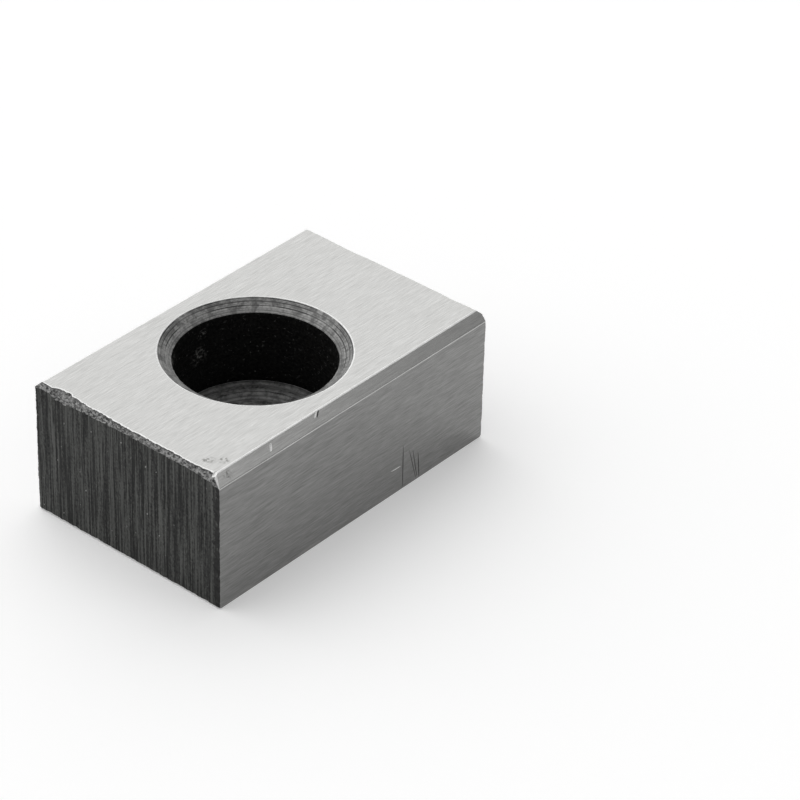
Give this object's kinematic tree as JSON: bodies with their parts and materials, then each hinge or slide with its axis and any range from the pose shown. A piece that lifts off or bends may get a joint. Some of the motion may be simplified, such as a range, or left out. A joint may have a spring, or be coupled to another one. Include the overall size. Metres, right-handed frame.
{
  "type": "t slot nut",
  "caption": "Ground steel slot block with a counterbored screw hole, bevelled long edges and filed black ends, which keys a vice or fixture to a table slot.",
  "frame": {"origin": "middle of the back face, on the surface that the block rests on", "axes": "+X along the length, +Y across the slot width, +Z out of the counterbore"},
  "size_m": [0.0286, 0.018, 0.011],
  "materials": {
    "ground_steel": "ground, with blackened sawn ends and a dark drilled bore"
  },
  "bodies": {
    "root": {"key_block": "ground_steel"}
  },
  "joints": []
}
